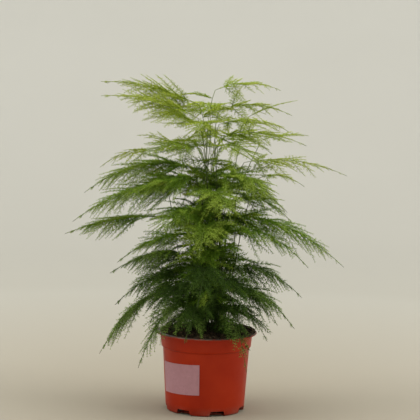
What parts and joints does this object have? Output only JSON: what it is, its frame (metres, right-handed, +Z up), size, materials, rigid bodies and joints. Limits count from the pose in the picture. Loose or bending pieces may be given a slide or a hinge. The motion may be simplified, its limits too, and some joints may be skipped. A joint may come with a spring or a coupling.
{
  "type": "lace fern in its pot",
  "caption": "Clump of fine wiry stems that bend over into flat feathered fronds in tiers, rooted in peat in a thin tapered nursery pot with a bare sticker",
  "frame": {"origin": "middle of the pot's flat base, on the surface that it stands on", "axes": "+Z up, -Y is the side of the pot that the picture shows, with the sticker to the left of it, and +X is to the right"},
  "size_m": [0.3332, 0.2649, 0.3926],
  "materials": {
    "pot_plastic": "smooth orange-red moulded plastic with a slight sheen",
    "peat": "dark, coarse, crumbly",
    "sticker_paper": "coated pinkish white paper, bare",
    "frond_young": "soft young yellow-green needles",
    "frond_fresh": "soft mid-green needles",
    "frond_dark": "soft dark green needles"
  },
  "bodies": {
    "root": {"lower_frond_01": "frond_dark", "lower_frond_02": "frond_dark", "lower_frond_03": "frond_dark", "lower_frond_04": "frond_dark", "lower_frond_05": "frond_dark", "lower_frond_06": "frond_dark", "lower_frond_07": "frond_dark", "lower_frond_08": "frond_dark", "lower_frond_09": "frond_dark", "lower_frond_10": "frond_dark", "lower_frond_11": "frond_dark", "lower_frond_12": "frond_dark", "lower_frond_13": "frond_dark", "lower_frond_14": "frond_dark", "lower_frond_15": "frond_dark", "lower_frond_16": "frond_dark", "lower_frond_17": "frond_dark", "lower_frond_18": "frond_dark", "middle_frond_01": "frond_fresh", "middle_frond_02": "frond_fresh", "middle_frond_03": "frond_fresh", "middle_frond_04": "frond_fresh", "middle_frond_05": "frond_fresh", "middle_frond_06": "frond_fresh", "middle_frond_07": "frond_fresh", "middle_frond_08": "frond_fresh", "middle_frond_09": "frond_fresh", "middle_frond_10": "frond_fresh", "middle_frond_11": "frond_fresh", "middle_frond_12": "frond_fresh", "middle_frond_13": "frond_fresh", "middle_frond_14": "frond_fresh", "middle_frond_15": "frond_fresh", "middle_frond_16": "frond_fresh", "middle_frond_17": "frond_fresh", "middle_frond_18": "frond_fresh", "pot": "pot_plastic", "soil": "peat", "sticker": "sticker_paper", "upper_frond_01": "frond_young", "upper_frond_02": "frond_young", "upper_frond_03": "frond_young", "upper_frond_04": "frond_young", "upper_frond_05": "frond_young", "upper_frond_06": "frond_young", "upper_frond_07": "frond_young", "upper_frond_08": "frond_young", "upper_frond_09": "frond_young", "upper_frond_10": "frond_young", "upper_frond_11": "frond_young", "upper_frond_12": "frond_young", "upper_frond_13": "frond_young", "upper_frond_14": "frond_young", "upper_frond_15": "frond_young", "upper_frond_16": "frond_young", "upper_frond_17": "frond_young", "upper_frond_18": "frond_young", "upper_frond_19": "frond_young"}
  },
  "joints": []
}
